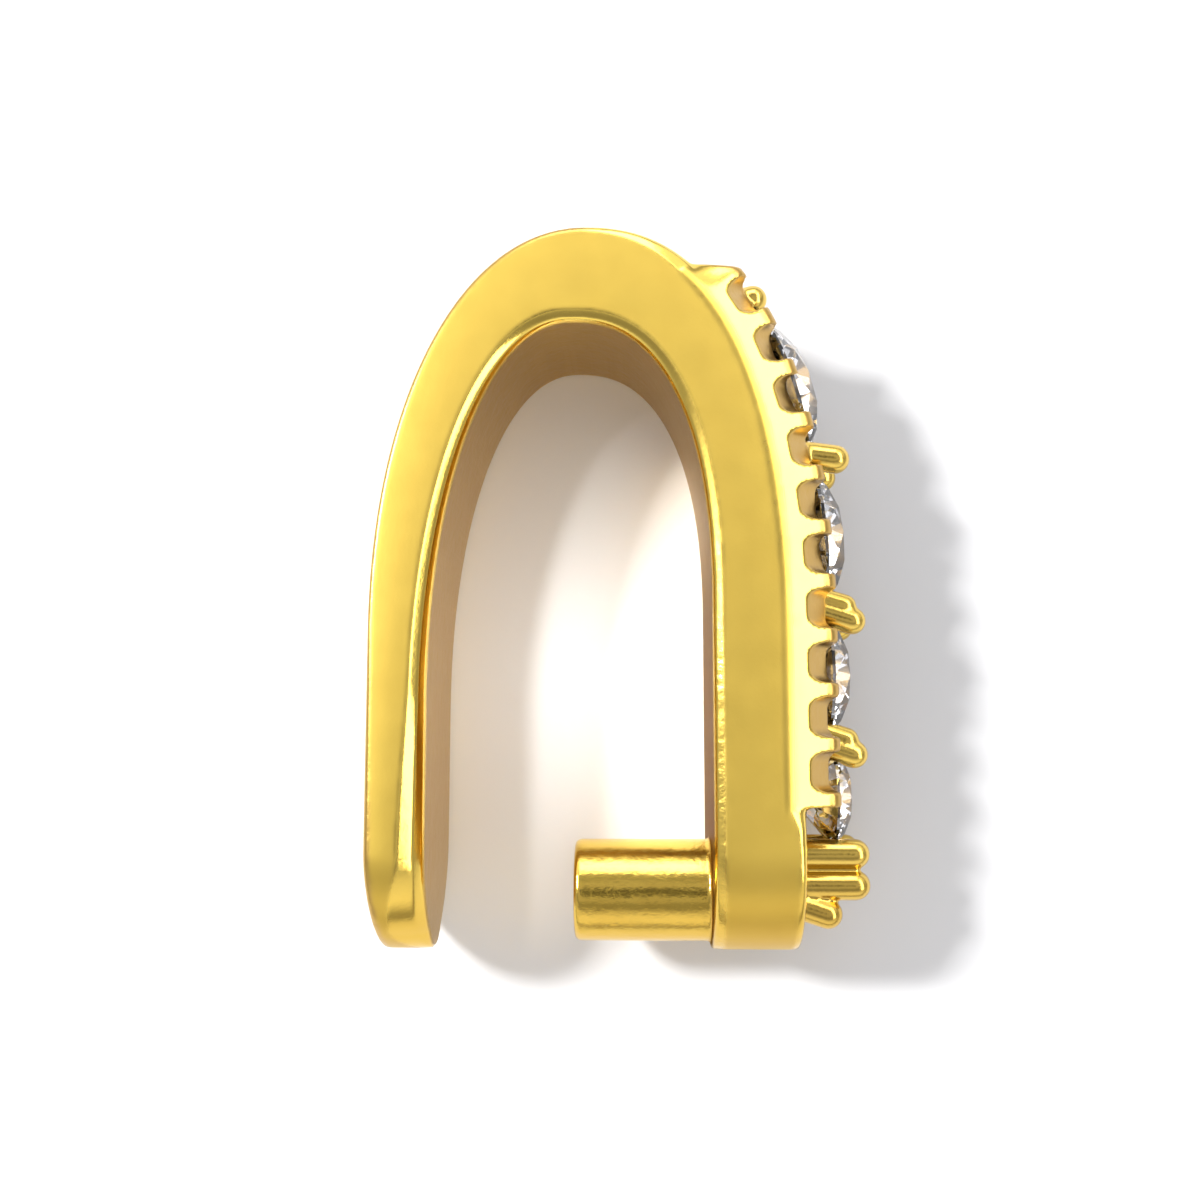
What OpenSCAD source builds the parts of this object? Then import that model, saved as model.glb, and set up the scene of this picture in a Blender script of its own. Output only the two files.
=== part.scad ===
// Pinch bail: a cast bow with a plain back arm, a jewelled front arm and a
// peg between them, lying on its side. Millimetres.
// +X runs from the plain back arm to the jewelled front arm, +Y from the
// arms' tips to the top of the bow, +Z across the band. The side face that
// it lies on is Z = 0, and the origin is below the middle of the whole piece.

/* [Bow] */
// Height from the arms' tips to the top of the bow
bail_h = 8.27; // [7.8:0.01:9.5]
// Depth from the back arm's outer face to the front arm's wall
bail_d = 4.85; // [4.5:0.01:5.6]
// Width of the band from side to side
band_w = 2.3; // [2.2:0.01:3]
// Thickness of the bow at its top
top_t = 1.12; // [0.8:0.01:1.4]
// Thickness of the plain back arm
back_t = 0.65; // [0.5:0.01:0.9]
// Thickness of the front arm behind the stones
front_t = 1.0; // [0.95:0.01:1.3]
// Rounding of the band's outer edges
outer_edge = 0.12; // [0.04:0.01:0.16]
// Rounding of the band's inner edges
inner_edge = 0.16; // [0.04:0.01:0.2]

/* [Curve of the bow] */
// Height of the outer curve above the straight part of the back arm
outer_back_rise = 4.67; // [4:0.01:5]
// Height of the outer curve above the straight part of the front arm
outer_front_rise = 4.87; // [4.4:0.01:5.2]
// Height of the inner curve above the straight part of the back arm
inner_back_rise = 4.35; // [3.6:0.01:4.8]
// Height of the inner curve above the straight part of the front arm
inner_front_rise = 3.3; // [2.6:0.01:3.8]
// Fullness of the back shoulder, where 2 is an ellipse
back_fullness = 2.1; // [2:0.05:2.4]
// Fullness of the front shoulder, where 2 is an ellipse
front_fullness = 2.4; // [2.1:0.05:2.6]
// Place of the bow's inner top between the arms, as a share of the gap
inner_top_share = 0.5; // [0.45:0.01:0.55]

/* [Stones] */
// Diameter of the lowest stone
stone_1_d = 1.15; // [1:0.01:1.3]
// Diameter of the second stone
stone_2_d = 1.4; // [1.2:0.01:1.5]
// Diameter of the third stone
stone_3_d = 1.6; // [1.4:0.01:1.7]
// Diameter of the uppermost stone
stone_4_d = 1.75; // [1.5:0.01:1.8]
// Gap between two neighbouring stones
stone_gap = 0.12; // [0.08:0.01:0.2]
// Height of the lowest stone's centre above the arms' tips
first_stone = 1.74; // [1.6:0.01:2]
// Height of the stones' tables above the front arm's wall
table_rise = 0.62; // [0.5:0.01:0.7]
// Clearance between a stone and the metal round it
stone_clear = 0.03; // [0.02:0.005:0.05]

/* [Rims] */
// Number of teeth on each rim
teeth = 11; // [9:1:12]
// Distance from tooth to tooth along the rim
tooth_pitch = 0.603; // [0.56:0.001:0.62]
// Width of the notch between two teeth
notch_w = 0.42; // [0.3:0.01:0.46]
// Height of the teeth above the front arm's wall
tooth_h = 0.42; // [0.36:0.01:0.5]
// Thickness of the rims
rim_t = 0.5; // [0.4:0.01:0.55]
// Height of the bed between the rims above the front arm's wall
bed_h = 0.2; // [0.1:0.01:0.26]
// Slope of the notches' floors, in degrees
notch_slope = 35; // [20:1:40]
// Length over which the rims rise out of the bow at their upper end
rim_run = 0.36; // [0.2:0.01:0.45]

/* [Prongs] */
// Diameter of the single prongs
prong_d = 0.34; // [0.26:0.01:0.4]
// Diameter of the lower post of a double prong
lower_post_d = 0.32; // [0.3:0.01:0.36]
// Diameter of the upper post of a double prong
upper_post_d = 0.28; // [0.2:0.01:0.29]
// Distance between the two posts of a double prong
double_prong_step = 0.14; // [0.08:0.01:0.2]
// Height of the tall prongs above the front arm's wall
prong_h = 0.8; // [0.7:0.01:0.95]
// Height of the upper post of a double prong above the front arm's wall
upper_post_h = 0.7; // [0.6:0.01:0.8]
// Height of the uppermost prongs above the front arm's wall
top_prong_h = 0.56; // [0.48:0.01:0.7]
// Height of the lowest prongs above the front arm's wall
tip_prong_h = 0.48; // [0.4:0.01:0.6]
// Distance from prong to prong round the arm's lower end
end_prong_step = 0.35; // [0.32:0.01:0.38]
// Angle at which the prongs lean down the arm, in degrees
prong_lean = 18; // [0:1:22]

/* [Peg] */
// Diameter of the peg
peg_d = 1.16; // [0.8:0.01:1.25]
// Length of the peg out of the front arm
peg_l = 1.57; // [1:0.01:1.7]
// Height of the peg's axis above the arms' tips
peg_axis = 0.66; // [0.64:0.01:1]
// Rounding of the peg's free end
peg_edge = 0.07; // [0.03:0.01:0.12]

/* [Hidden] */

gold = "gold";
clear_stone = "aliceblue";

// Fineness of the curves
curve_steps = 20;
end_steps = 8;
edge_steps = 2;
round_fn = 48;

// A little more than a cut needs, so that no two faces lie in one plane
over = 0.2;
sunk = 0.3;

// The rounded ends of the arms are half circles across the band
end_r = band_w / 2;
// The end's half circle starts at this angle, which leaves a tiny flat land
end_land = 6;
end_drop = end_r * (1 - cos(end_land));
// Near the ends the edges' rounding is at most this share of the half width
edge_share = 0.6;

// Top and springing points of the outer and inner curves
outer_top = [bail_d / 2, bail_h];
gap_x = [back_t, bail_d - front_t];
inner_top = [gap_x[0] + inner_top_share * (gap_x[1] - gap_x[0]), bail_h - top_t];

// Each quarter curve: [top point, sideways reach with its sign, rise, fullness]
outer_front = [outer_top, bail_d - outer_top[0], outer_front_rise, front_fullness];
inner_front = [inner_top, gap_x[1] - inner_top[0], inner_front_rise, front_fullness];
outer_back = [outer_top, -outer_top[0], outer_back_rise, back_fullness];
inner_back = [inner_top, gap_x[0] - inner_top[0], inner_back_rise, back_fullness];

// Point of a quarter curve, where 0 degrees is its springing and 90 its top
function quarter(q, a) = [
    q[0][0] + q[1] * pow(cos(a), 2 / q[3]),
    q[0][1] - q[2] + q[2] * pow(sin(a), 2 / q[3])
];

// Half width of the band at a height above the arms' tips
function half_width(y) =
    y + end_drop >= end_r ? end_r : sqrt(end_r * end_r - pow(end_r - end_drop - y, 2));

// Stations up an arm: each is [height of the outer point, height of the inner point]
end_angles = [for (i = [0:end_steps]) end_land + (90 - end_land) * i / end_steps];
function arm_heights(spring_outer, spring_inner) = concat(
    [for (a = end_angles) let (h = end_r * (1 - cos(a)) - end_drop) [h, h]],
    [[(end_r + spring_outer) / 2, (end_r + spring_inner) / 2]]
);

// Pairs of outer and inner points from the arm's tip to the top of the bow
function arm_pairs(outer, inner) = concat(
    [
        for (h = arm_heights(outer[0][1] - outer[2], inner[0][1] - inner[2]))
            [[outer[0][0] + outer[1], h[0]], [inner[0][0] + inner[1], h[1]]]
    ],
    [for (i = [0:curve_steps]) let (a = 90 * i / curve_steps) [quarter(outer, a), quarter(inner, a)]]
);
front_pairs = arm_pairs(outer_front, inner_front);
back_pairs = arm_pairs(outer_back, inner_back);
band_pairs = concat(front_pairs, [for (i = [len(back_pairs) - 2:-1:0]) back_pairs[i]]);

// Points of a rounded edge: [share inwards from the face, share down from the side]
edge_shape = [for (i = [0:edge_steps]) let (a = 90 * i / edge_steps) [1 - cos(a), 1 - sin(a)]];
function reversed(list) = [for (i = [len(list) - 1:-1:0]) list[i]];

// One side of a ring: the points round the edge at an outer or inner point
function edge_points(from, towards, edge, side) =
    let (
        half = half_width(from[1]),
        e = min(edge, edge_share * half),
        step = (towards - from) / norm(towards - from)
    )
    [
        for (s = edge_shape)
            let (p = from + step * e * s[0]) [p[0], p[1], end_r + side * (half - e * s[1])]
    ];

// The closed ring of the band at one pair of points
function band_ring(pair) = concat(
    edge_points(pair[1], pair[0], inner_edge, 1),
    reversed(edge_points(pair[0], pair[1], outer_edge, 1)),
    edge_points(pair[0], pair[1], outer_edge, -1),
    reversed(edge_points(pair[1], pair[0], inner_edge, -1))
);

// The front arm's wall, measured along itself from the arm's tip
wall_curve = [for (i = [0:2 * curve_steps]) quarter(outer_front, 45 * i / curve_steps)];
wall_points = concat([[bail_d, 0]], wall_curve);
function run_lengths(points, i = 1, sum = [0]) =
    i == len(points) ? sum
    : run_lengths(points, i + 1, concat(sum, [sum[i - 1] + norm(points[i] - points[i - 1])]));
wall_runs = run_lengths(wall_points);
wall_x = [for (i = [0:len(wall_points) - 1]) [wall_runs[i], wall_points[i][0]]];
wall_y = [for (i = [0:len(wall_points) - 1]) [wall_runs[i], wall_points[i][1]]];
function wall_at(s) = [lookup(s, wall_x), lookup(s, wall_y)];
// Direction of the wall's outward normal at a run, in degrees
function wall_turn(s) =
    let (d = 0.1, t = wall_at(s + d) - wall_at(s - d)) atan2(-t[0], t[1]);

// Diameters of the stones, from the lowest one up
stone_d = [stone_1_d, stone_2_d, stone_3_d, stone_4_d];
last_stone = len(stone_d) - 1;
// Places of the stones along the wall
function stone_run(i) =
    i == 0 ? first_stone : stone_run(i - 1) + (stone_d[i - 1] + stone_d[i]) / 2 + stone_gap;

// Proportions of a round brilliant as shares of its diameter
crown_share = 0.15;
pavilion_share = 0.43;
girdle_share = 0.025;
table_share = 0.56;
// Distance of the crown's and the pavilion's middle corners from the axis
crown_mid_share = 0.8;
pavilion_mid_share = 0.24;
// The seat is deeper than the stone by this much at the stone's point
culet_clear = 1.5 * stone_clear;

// The rims: the lowest tooth stands level with the lowest stone's centre
tooth_w = tooth_pitch - notch_w;
// A notch reaches this far in past its rim
notch_past = 0.12;
function tooth_run(i) = first_stone + i * tooth_pitch;
rim_start = tooth_run(0) - tooth_w / 2;
rim_end = tooth_run(teeth - 1) + rim_run;
rim_lean = 0.12;
rim_flush = 0.02;
rim_step = 0.16;
rim_rings = ceil((rim_end - rim_start) / rim_step);

// Height of the rims as a share of their full height, which fades out on the bow
least_rise = 0.05;
function rim_rise(s) = min(1, max(least_rise, (rim_end - s) / rim_run));

// Section of one rim: [height above the wall, distance in from the side face]
rim_section = [
    [-2 * outer_edge, rim_flush],
    [0.62 * tooth_h, rim_lean],
    [0.9 * tooth_h, 0.4 * rim_t],
    [tooth_h, 0.6 * rim_t],
    [0.95 * tooth_h, 0.8 * rim_t],
    [bed_h, rim_t]
];
function rim_ring(s) =
    let (
        p = wall_at(s),
        a = wall_turn(s),
        rise = rim_rise(s),
        up = [for (r = rim_section) [r[0] > 0 ? r[0] * rise : r[0], band_w - r[1]]],
        down = [for (i = [len(up) - 1:-1:0]) [up[i][0], band_w - up[i][1]]],
        base = [[-sunk, 2 * rim_flush], [-sunk, band_w - 2 * rim_flush]]
    )
    [for (q = concat(up, down, base)) [p[0] + q[0] * cos(a), p[1] + q[0] * sin(a), q[1]]];
// Convex parts of a ring: the upper rim, the bed between the rims, the lower rim
rim_n = len(rim_section);
rim_parts = [
    concat([2 * rim_n + 1], [for (j = [0:rim_n - 1]) j]),
    [rim_n - 1, rim_n, 2 * rim_n, 2 * rim_n + 1],
    [for (j = [rim_n:2 * rim_n]) j]
];

// Whole size, with the tall prongs, and the shift that centres it
whole_d = bail_d + prong_h;

// A closed skin over rings that all have as many points. A ring that isn't
// convex has its ends closed by several convex faces, given as its indices.
module skin(rings, convex_ends = []) {
    n = len(rings[0]);
    last = len(rings) - 1;
    ends = len(convex_ends) > 0 ? convex_ends : [[for (j = [0:n - 1]) j]];
    polyhedron(
        points = [for (r = rings) each r],
        faces = concat(
            ends,
            [
                for (i = [0:last - 1]) for (j = [0:n - 1])
                    let (k = (j + 1) % n)
                    each [
                        [i * n + j, (i + 1) * n + j, (i + 1) * n + k],
                        [i * n + j, (i + 1) * n + k, i * n + k]
                    ]
            ],
            [for (e = ends) [for (j = reversed(e)) last * n + j]]
        ),
        convexity = 6
    );
}

// Stands its children on the wall: X outwards, Y up the arm, Z across the band
module on_wall(s) {
    translate(concat(wall_at(s), 0)) rotate([0, 0, wall_turn(s)]) children();
}

// Puts its children at both sides of the band
module both_sides() {
    children();
    translate([0, 0, band_w]) mirror([0, 0, 1]) children();
}

module band() skin([for (p = band_pairs) band_ring(p)]);

module rims() {
    rings = [for (i = [0:rim_rings]) rim_ring(rim_start + (rim_end - rim_start) * i / rim_rings)];
    skin(rings, rim_parts);
}

// One U-shaped notch, cut in from a side face with its floor rising inwards
module notch(s) {
    r = notch_w / 2;
    reach = rim_t + notch_past;
    on_wall(s) translate([r, 0, 0]) rotate([0, notch_slope, 0]) translate([0, 0, -over])
        linear_extrude(reach / cos(notch_slope) + over) {
            circle(r, $fn = round_fn);
            translate([0, -r]) square([2 * tooth_h, notch_w]);
        }
}

// A post with a domed head, whose root is sunk in the wall. It leans down the
// arm about its place level with the stones' girdles, and still stands h high.
lean_height = 0.65 * table_rise;
module post(s, across, d, h, lean = 0) {
    r = d / 2;
    shaft = (sunk + h - r) / cos(lean);
    on_wall(s) translate([lean_height, 0, across]) rotate([0, 0, -lean])
        translate([-(sunk + lean_height) / cos(lean), 0, 0]) rotate([0, 90, 0])
            rotate_extrude($fn = round_fn) {
                square([r, shaft]);
                translate([0, shaft]) intersection() {
                    circle(r, $fn = round_fn);
                    translate([0, -over]) square([r, over + r]);
                }
            }
}

// The prongs stand in the corners that neighbouring stones leave at both rims
prong_share = 0.31;
function prong_across(d) = end_r - prong_share * d;
function run_below(i) = stone_run(i) - (stone_d[i] + stone_gap) / 2;
function corner_d(i) = (stone_d[i] + stone_d[i - 1]) / 2;

module double_prong(i) {
    across = prong_across(corner_d(i));
    post(run_below(i) - double_prong_step / 2, across, lower_post_d, prong_h, prong_lean);
    post(run_below(i) + double_prong_step / 2, across, upper_post_d, upper_post_h, prong_lean);
}

module prongs() {
    top_run = stone_run(last_stone) + (stone_d[last_stone] + stone_gap) / 2;
    end_run = run_below(0);
    end_across = prong_across(stone_d[0]);
    both_sides() {
        post(top_run, prong_across(stone_d[last_stone]), prong_d, top_prong_h, prong_lean);
        post(run_below(last_stone), prong_across(corner_d(last_stone)), prong_d, prong_h, prong_lean);
        for (i = [1:last_stone - 1]) double_prong(i);
        post(end_run, end_across, prong_d, prong_h);
        post(end_run - end_prong_step, end_across, prong_d, prong_h);
        post(end_run - 2 * end_prong_step, end_across, prong_d, tip_prong_h, prong_lean);
    }
}

// Heights of a stone's parts on its own axis, with its table at table_rise
function girdle_top(d) = table_rise - crown_share * d;
function girdle_low(d) = girdle_top(d) - girdle_share * d;
function culet(d) = girdle_low(d) - pavilion_share * d;

// Room for one stone: its outline with the clearance all round, open above
module seat(d) {
    r = d / 2 + stone_clear;
    rt = table_share * d / 2 + stone_clear;
    rotate([0, 90, 0]) rotate_extrude($fn = round_fn)
        polygon([
            [0, culet(d) - culet_clear],
            [r, girdle_low(d) - stone_clear],
            [r, girdle_top(d) + stone_clear],
            [rt, table_rise + stone_clear],
            [rt, prong_h + over],
            [0, prong_h + over]
        ]);
}

// The peg, with its root inside the front arm
module peg() {
    root = front_t / 2;
    r = peg_d / 2;
    length = peg_l + root;
    translate([gap_x[1] + root, peg_axis, end_r]) rotate([0, -90, 0]) rotate_extrude($fn = 2 * round_fn) {
        square([r - peg_edge, length]);
        square([r, length - peg_edge]);
        translate([r - peg_edge, length - peg_edge]) circle(peg_edge, $fn = round_fn);
    }
}

// Puts the whole piece with its middle over the origin
module centred() {
    translate([-whole_d / 2, -bail_h / 2, 0]) children();
}

module bail_frame() {
    color(gold) centred() {
        difference() {
            union() {
                band();
                difference() {
                    rims();
                    both_sides() for (i = [0:teeth - 2]) notch(tooth_run(i) + tooth_pitch / 2);
                }
                prongs();
            }
            for (i = [0:last_stone]) on_wall(stone_run(i)) translate([0, 0, end_r]) seat(stone_d[i]);
        }
        peg();
    }
}

// A round brilliant: table, crown, girdle and pavilion, on the X axis
module brilliant(d) {
    r = d / 2;
    top = table_rise;
    rt = table_share * r;
    // The crown's middle corners lie in the plane of the main facets
    rm = crown_mid_share * r;
    zm = top - crown_share * d * (rm * cos(22.5) - rt) / (r - rt);
    zg = girdle_top(d);
    zl = girdle_low(d);
    // The pavilion's middle corners lie in the plane of the lower mains
    rp = pavilion_mid_share * r;
    zp = culet(d) + pavilion_share * d * rp * cos(22.5) / r;
    function ring(radius, z, count, first) =
        [for (i = [0:count - 1]) let (a = first + i * 360 / count) [z, radius * cos(a), radius * sin(a)]];
    points = concat(
        ring(rt, top, 8, 0),
        ring(rm, zm, 8, 22.5),
        ring(r, zg, 16, 0),
        ring(r, zl, 16, 0),
        ring(rp, zp, 8, 22.5),
        [[culet(d), 0, 0]]
    );
    t = 0;
    m = 8;
    g = 16;
    l = 32;
    p = 48;
    c = 56;
    faces = concat(
        [[for (i = [0:7]) t + i]],
        [for (i = [0:7]) [t + i, m + i, t + (i + 1) % 8]],
        [for (i = [0:7]) [t + i, m + (i + 7) % 8, g + 2 * i, m + i]],
        [for (i = [0:7]) [m + i, g + 2 * i, g + 2 * i + 1]],
        [for (i = [0:7]) [m + i, g + 2 * i + 1, g + (2 * i + 2) % 16]],
        [for (i = [0:15]) [g + i, l + i, l + (i + 1) % 16, g + (i + 1) % 16]],
        [for (i = [0:7]) [l + 2 * i, p + i, l + 2 * i + 1]],
        [for (i = [0:7]) [l + 2 * i + 1, p + i, l + (2 * i + 2) % 16]],
        [for (i = [0:7]) [l + 2 * i, p + (i + 7) % 8, c, p + i]]
    );
    polyhedron(points = points, faces = faces, convexity = 2);
}

module stone(i) {
    color(clear_stone) centred() on_wall(stone_run(i)) translate([0, 0, end_r]) brilliant(stone_d[i]);
}

bail_frame();
stone(0);  // stone_1
stone(1);  // stone_2
stone(2);  // stone_3
stone(3);  // stone_4
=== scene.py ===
"""Finish of a cast pinch bail that lies on its side, with toothed rims, prongs, a peg and set stones.

The metal is modelled the way such a piece is made: its parts are waxes, and one casting fuses them.
Waxes are modelled in millimetres from the tips of the arms, and the casting is moved to the frame in metres.
"""

import math

import bmesh
import bpy
import numpy as np
from bpy.props import FloatProperty, FloatVectorProperty, IntProperty, PointerProperty
from mathutils import Matrix, Vector
from mathutils.bvhtree import BVHTree


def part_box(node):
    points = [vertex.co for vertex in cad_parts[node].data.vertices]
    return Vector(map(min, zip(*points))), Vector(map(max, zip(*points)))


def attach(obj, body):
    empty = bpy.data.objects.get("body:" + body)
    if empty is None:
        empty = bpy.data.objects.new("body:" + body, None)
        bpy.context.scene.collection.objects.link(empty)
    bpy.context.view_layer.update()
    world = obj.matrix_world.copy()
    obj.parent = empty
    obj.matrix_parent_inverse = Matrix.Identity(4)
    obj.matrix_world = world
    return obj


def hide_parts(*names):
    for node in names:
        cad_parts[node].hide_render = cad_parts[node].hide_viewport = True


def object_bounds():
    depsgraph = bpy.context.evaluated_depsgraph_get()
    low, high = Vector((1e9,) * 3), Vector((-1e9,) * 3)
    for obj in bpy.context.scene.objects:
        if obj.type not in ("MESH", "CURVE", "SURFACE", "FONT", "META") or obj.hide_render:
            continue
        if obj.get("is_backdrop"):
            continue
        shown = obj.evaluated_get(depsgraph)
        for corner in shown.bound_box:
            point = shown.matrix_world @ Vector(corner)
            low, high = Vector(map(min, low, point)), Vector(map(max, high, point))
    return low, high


bl_info = {
    "name": "Pinch bail finish",
    "version": (1, 0, 0),
    "blender": (4, 5, 0),
    "location": "3D View > Sidebar > Bail",
    "description": "Casts, plates and sets a pinch bail around its frame",
    "category": "Object",
}

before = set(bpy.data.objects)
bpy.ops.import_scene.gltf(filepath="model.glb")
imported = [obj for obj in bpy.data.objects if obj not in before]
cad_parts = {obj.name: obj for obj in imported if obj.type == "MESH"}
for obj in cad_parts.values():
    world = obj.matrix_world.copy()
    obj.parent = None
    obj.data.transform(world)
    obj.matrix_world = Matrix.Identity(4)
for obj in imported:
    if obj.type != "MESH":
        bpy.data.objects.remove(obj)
cad_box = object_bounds()
metal_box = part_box("bail_frame")

MM = 0.001
# Grain of the plating and smudges of the stones as [scale of pits, scale of waves, share of waves]
FINE_GRAIN = (26000.0, 3000.0, 0.6)
COARSE_GRAIN = (9000.0, 3500.0, 0.5)
SMUDGES = (12000.0, 1800.0, 0.5)
CLOUD_SCALE = 2200.0
# How noise and height turn into looks, as [low, high, result at low, result at high]
DEEP_CLOUDS = (0.4, 0.75, 0.0, 0.15)
# Painted shade: the plating is drawn deeper towards the arms' tips
PAINTED_TIP_SHADE = (0.3, 1.0, 0.9, 0.0)
ROUGH_CLOUDS = (0.3, 0.7, -0.01, 0.01)
ROUGH_SMUDGES = (0.45, 0.8, 0.0, 0.05)
# Heights above the arms' tips, in millimetres, between which the painted shade in the gap fades out upwards
SHADE_FADE = (3.2, 6.9)
STONES = ("stone_1", "stone_2", "stone_3", "stone_4")
WAXES = ("wax_band", "wax_rims", "wax_prongs", "wax_peg")
# How the surface is finished face by face, and where shade is painted on
SATIN, POLISHED, CAST, TUMBLED, BEADED, PAINTED_SHADE = range(6)
# For each mark of the casting, how often it is evened out and how much each finish counts in it
MARKS = {
    "satin": (2, {SATIN: 1.0}),
    # The cast mark also carries the dull colour, which is partly painted shade on the inner walls, notches,
    # seats and prongs
    "cast": (2, {CAST: 1.0, BEADED: 0.35, PAINTED_SHADE: 1.0}),
    "tumbled": (2, {TUMBLED: 1.0}),
    # Painted shade: the front arm's inner wall, which is drawn dark and also takes the dull colour
    "shaded": (2, {PAINTED_SHADE: 1.0}),
}


def length(name, millimetres, description):
    """A size in metres whose default is given in millimetres."""
    return FloatProperty(
        name=name,
        description=description,
        default=millimetres * MM,
        min=0.0,
        precision=5,
        subtype="DISTANCE",
        unit="LENGTH",
    )


def slope(name, degrees, description):
    """An angle whose default is given in degrees."""
    return FloatProperty(
        name=name,
        description=description,
        default=math.radians(degrees),
        subtype="ANGLE",
        unit="ROTATION",
    )


def share(name, value, description):
    """A plain number, such as a share or a fullness."""
    return FloatProperty(name=name, description=description, default=value, min=0.0)


def whole(name, value, description):
    """A whole number."""
    return IntProperty(name=name, description=description, default=value, min=1)


def tint(name, value, description):
    """A colour of the finish."""
    return FloatVectorProperty(
        name=name,
        description=description,
        default=value,
        size=3,
        min=0.0,
        max=1.0,
        subtype="COLOR",
    )


class BowSizes(bpy.types.PropertyGroup):
    """The plain band: its back arm, its bow and the wall of its front arm."""

    height: length("Height", (metal_box[1].y - metal_box[0].y) / MM, "From the arms' tips to the top")
    width: length("Width", (metal_box[1].z - metal_box[0].z) / MM, "From side face to side face")
    depth: length("Depth", 4.85, "From the back arm's outer face to the front arm's wall")
    top_thickness: length("Top", 1.12, "Thickness of the bow at its top")
    back_thickness: length("Back arm", 0.65, "Thickness of the plain back arm")
    front_thickness: length("Front arm", 1.0, "Thickness of the front arm behind the stones")
    outer_edge: length("Outer edges", 0.08, "Rounding of the outer edges")
    rim_bevel: length("Bevel under the rims", 0.17, "Width of the outer bevel that the rims stand on")
    inner_bevel: length("Front bevel", 0.1, "Width of the bright bevel along the front arm's inner edges")
    back_bevel: length("Back bevel", 0.16, "Width of the bright bevel along the back arm's inner edges")
    tip_bevel: length("Back tip's bevel", 0.3, "Width of the back arm's bright bevel at its tip")
    front_fall: length("Front fall", 0.01, "Width of the steep facet from the front bevel to the inside")
    back_fall: length("Back fall", 0.09, "Width of the steep facet from the back bevel to the inside")
    tip_reach: length("Back tip", 1.2, "Length of the back arm's tip over which its bevel grows wider")
    tip_taper: length("Tip's taper", 0.1, "How much thinner the back arm is at its tip, on its outer side")
    bevel_tilt: slope("Bevel", 24, "Tilt of the inner bevels from the side face")
    fall_tilt: slope("Fall's tilt", 50, "Tilt of the steep facets from the side face")
    rim_tilt: slope("Rim bevel", 20, "Tilt of the bevel under the rims from the side face")
    crown: length("Crown", 0.005, "How far the side faces are domed by polishing")
    outer_back_rise: length("Outer back rise", 4.67, "Height of the outer curve over the back arm")
    outer_front_rise: length("Outer front rise", 4.87, "Height of the outer curve over the front arm")
    inner_back_rise: length("Inner back rise", 4.35, "Height of the inner curve over the back arm")
    inner_front_rise: length("Inner front rise", 3.3, "Height of the inner curve over the front arm")
    back_fullness: share("Back fullness", 2.1, "Fullness of the back shoulder, where 2 is an ellipse")
    front_fullness: share("Front fullness", 2.4, "Fullness of the front shoulder, where 2 is an ellipse")
    inner_top_share: share("Inner top", 0.5, "Place of the inner top, as a share of the gap")


class RimSizes(bpy.types.PropertyGroup):
    """The two toothed rims that stand along the front arm."""

    teeth: whole("Teeth", 11, "Number of teeth on each rim")
    pitch: length("Pitch", 0.603, "Distance from tooth to tooth")
    first: length("First tooth", 1.74, "Middle of the lowest tooth, along the wall from the arm's tip")
    notch_width: length("Notch width", 0.44, "Width of the notch between two teeth")
    tooth_height: length("Tooth height", 0.42, "Height of the teeth above the wall")
    thickness: length("Thickness", 0.5, "Thickness of a rim at its root")
    bed_height: length("Bed", 0.2, "Height of the bed between the rims")
    notch_slope: slope("Notch slope", 35, "Angle at which a notch's floor rises inwards")
    run_out: length("Run out", 0.36, "Length over which the rims rise out of the bow")
    bevel: length("Bevel", 0.2, "Width of the polished bevel from the side face to the rims")
    lean: length("Lean", 0.145, "How far the teeth lean inwards at the end of their bright faces")
    notch_corner: length("Notch corner", 0.13, "Rounding of the notches' corners")
    tip_corner: length("Tip corner", 0.085, "Rounding of the teeth's corners beside the notches")
    fillet: length("Fillet", 0.1, "Rounding between the lowest teeth and the arm")


class StoneSizes(bpy.types.PropertyGroup):
    """The row of stones, whose diameters come from the frame."""

    first: length("First stone", 1.74, "Height of the lowest stone's centre above the arm's tip")
    gap: length("Gap", 0.12, "Gap between two neighbouring stones")
    table_rise: length("Table", 0.62, "Height of the tables above the wall")
    clearance: length("Clearance", 0.02, "Gap between a stone and the metal round it")
    crown_share: share("Crown", 0.15, "Height of the crown as a share of the diameter")
    pavilion_share: share("Pavilion", 0.43, "Depth of the pavilion as a share of the diameter")
    girdle_share: share("Girdle", 0.025, "Height of the girdle as a share of the diameter")
    table_share: share("Table width", 0.56, "Width of the table as a share of the diameter")


class ProngSizes(bpy.types.PropertyGroup):
    """The prongs that stand in the corners between the stones and round the lower end."""

    single: length("Single prong", 0.34, "Diameter of the single prongs")
    lower_post: length("Lower post", 0.32, "Diameter of the lower post of a double prong")
    upper_post: length("Upper post", 0.28, "Diameter of the upper post of a double prong")
    double_step: length("Double step", 0.14, "Distance between the posts of a double prong")
    height: length("Height", 0.8, "Height of the tall prongs above the wall")
    upper_height: length("Upper post's height", 0.7, "Height of the upper post of a double prong")
    top_height: length("Top height", 0.56, "Height of the uppermost prongs above the wall")
    tip_height: length("Tip height", 0.48, "Height of the lowest prongs above the wall")
    end_step: length("End step", 0.35, "Distance from prong to prong round the lower end")
    root: length("Root", 0.3, "Depth of a prong's root in the wall")
    pivot: length("Pivot", 0.403, "Height above the wall about which the prongs lean, level with the girdles")
    lean: slope("Lean", 18, "Angle at which the prongs lean down the arm")
    corner_share: share("Corner", 0.31, "Distance from the middle as a share of the stones' diameter")
    sides: whole("Sides", 32, "Sides of each post")


class PegSizes(bpy.types.PropertyGroup):
    """The peg that passes through a drilled stone."""

    diameter: length("Diameter", 1.16, "Diameter of the peg")
    length: length("Length", 1.57, "Length of the peg out of the front arm")
    axis: length("Axis", 0.66, "Height of the peg's axis above the arms' tips")
    edge: length("Edge", 0.07, "Rounding of the peg's free end")
    sides: whole("Sides", 128, "Sides of the peg")


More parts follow.
